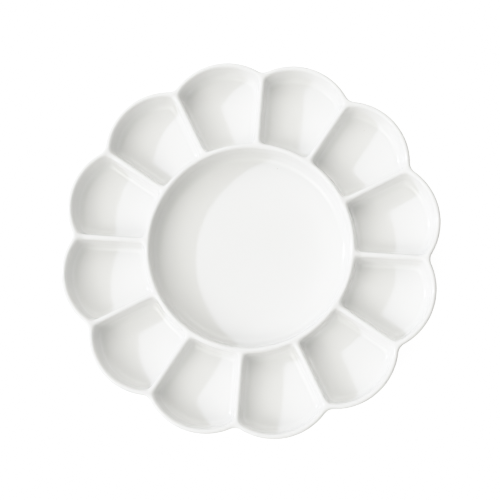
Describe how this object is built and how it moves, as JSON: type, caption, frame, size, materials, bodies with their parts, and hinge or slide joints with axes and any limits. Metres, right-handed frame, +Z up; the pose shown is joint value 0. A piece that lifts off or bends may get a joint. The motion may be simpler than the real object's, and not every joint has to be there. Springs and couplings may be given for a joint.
{
  "type": "mixing palette",
  "caption": "Round flower-shaped porcelain mixing palette with a wide centre well inside a ring of petal-shaped wells, on a low foot ring.",
  "frame": {"origin": "middle of the foot ring's standing face, on the palette's axis", "axes": "+Z up out of the wells; +X through the middle of petal well 01; petal wells and dividers are numbered anticlockwise seen from above"},
  "size_m": [0.2, 0.2, 0.02],
  "materials": {
    "glazed_porcelain": "clear gloss glaze over white porcelain, smooth and wet-looking",
    "bare_foot": "unglazed, dry and finely grained, ground flat where it stands"
  },
  "bodies": {
    "root": {"centre_floor": "glazed_porcelain", "centre_ring": "glazed_porcelain", "foot_ring": "bare_foot", "petal_well_01": "glazed_porcelain", "petal_well_02": "glazed_porcelain", "petal_well_03": "glazed_porcelain", "petal_well_04": "glazed_porcelain", "petal_well_05": "glazed_porcelain", "petal_well_06": "glazed_porcelain", "petal_well_07": "glazed_porcelain", "petal_well_08": "glazed_porcelain", "petal_well_09": "glazed_porcelain", "petal_well_10": "glazed_porcelain", "petal_well_11": "glazed_porcelain", "petal_well_12": "glazed_porcelain", "divider_01": "glazed_porcelain", "divider_02": "glazed_porcelain", "divider_03": "glazed_porcelain", "divider_04": "glazed_porcelain", "divider_05": "glazed_porcelain", "divider_06": "glazed_porcelain", "divider_07": "glazed_porcelain", "divider_08": "glazed_porcelain", "divider_09": "glazed_porcelain", "divider_10": "glazed_porcelain", "divider_11": "glazed_porcelain", "divider_12": "glazed_porcelain"}
  },
  "joints": []
}
